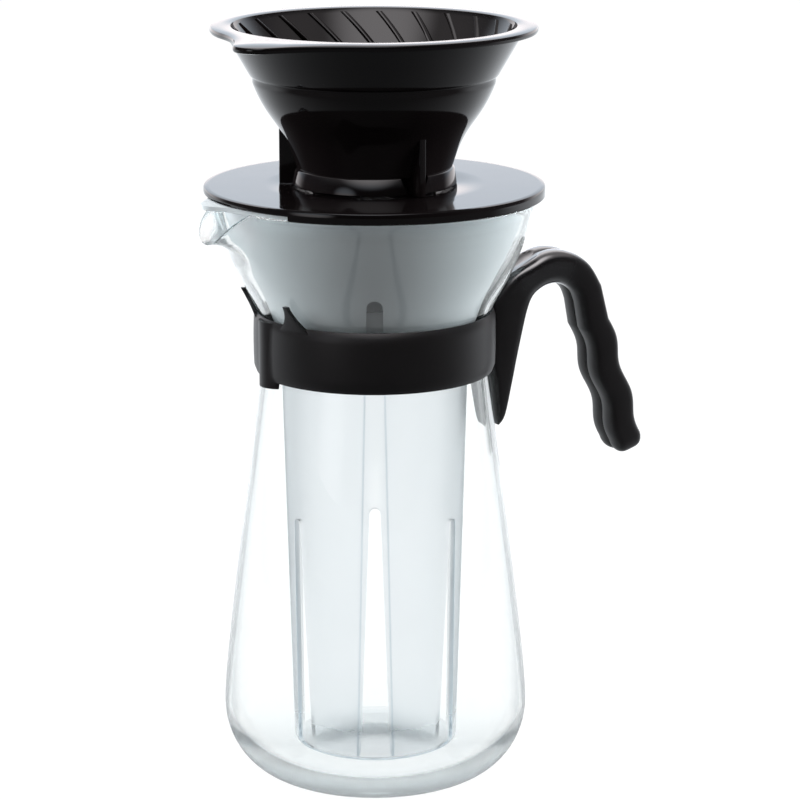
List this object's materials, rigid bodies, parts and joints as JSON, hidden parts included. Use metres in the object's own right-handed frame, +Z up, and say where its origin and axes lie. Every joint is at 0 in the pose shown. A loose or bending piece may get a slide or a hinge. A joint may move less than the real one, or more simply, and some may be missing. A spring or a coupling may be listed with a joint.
{
  "type": "iced coffee maker",
  "caption": "Glass coffee server with a banded handle and a pouring lip, under a hanging ice strainer, a flat lid and a ribbed cone dripper that lift off in turn.",
  "frame": {"origin": "centre of the server's flat base, on the surface it stands on", "axes": "+Z up, handle along +X, pouring lip along -X"},
  "size_m": [0.1768, 0.122, 0.2762],
  "materials": {
    "glass": "clear borosilicate glass",
    "frosted": "frosted translucent polypropylene",
    "gloss_black": "polished black plastic",
    "satin_black": "satin black polypropylene",
    "steel": "plain stainless steel"
  },
  "bodies": {
    "server": {"glass_server": "glass", "band": "satin_black", "handle_left": "satin_black", "handle_right": "satin_black", "band_screw": "steel", "band_nut": "steel"},
    "strainer": {"ice_strainer": "frosted"},
    "cover": {"lid": "gloss_black"},
    "cone": {"dripper": "gloss_black"}
  },
  "joints": [
    {"name": "strainer_lift", "type": "slide", "parent": "server", "child": "strainer", "axis": [0, 0, 1], "range_m": [0, 0.22]},
    {"name": "lid_lift", "type": "slide", "parent": "strainer", "child": "cover", "axis": [0, 0, 1], "range_m": [0, 0.04]},
    {"name": "dripper_lift", "type": "slide", "parent": "cover", "child": "cone", "axis": [0, 0, 1], "range_m": [0, 0.05]}
  ]
}
